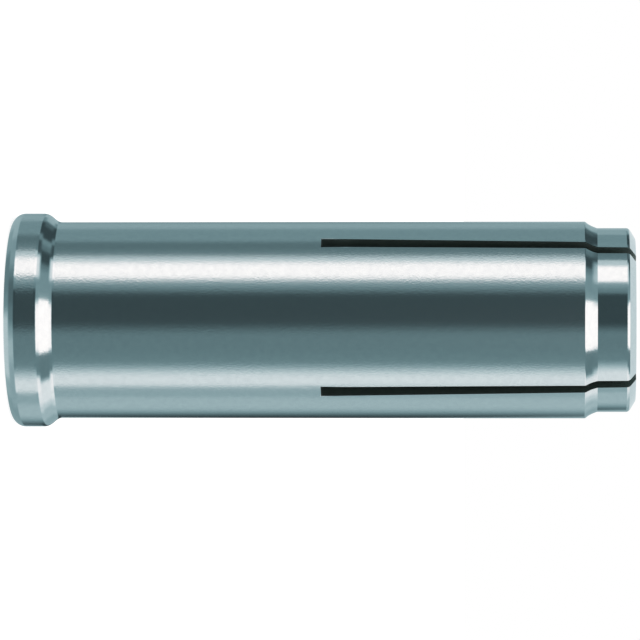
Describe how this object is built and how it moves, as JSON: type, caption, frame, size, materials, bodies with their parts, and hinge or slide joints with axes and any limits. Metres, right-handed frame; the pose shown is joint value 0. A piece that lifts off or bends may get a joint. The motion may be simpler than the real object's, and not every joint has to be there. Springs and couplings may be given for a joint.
{
  "type": "drop-in anchor",
  "caption": "Lipped steel drop-in anchor: a threaded sleeve with a slotted, stepped nose and a tapered plug inside that spreads it.",
  "frame": {"origin": "centre of the mouth face, the flat face of the lip, on the sleeve's axis", "axes": "+Z along the axis from the mouth to the slotted nose; -Y through the middle of one of the two wider leaves"},
  "size_m": [0.0272, 0.0272, 0.079],
  "materials": {
    "zinc_plated_steel": "bright zinc plate over cold-formed steel, satin with fine grain",
    "plug_steel": "zinc-plated cold-headed steel, a little duller than the sleeve"
  },
  "bodies": {
    "root": {"anchor_sleeve": "zinc_plated_steel", "expander_plug": "plug_steel"}
  },
  "joints": []
}
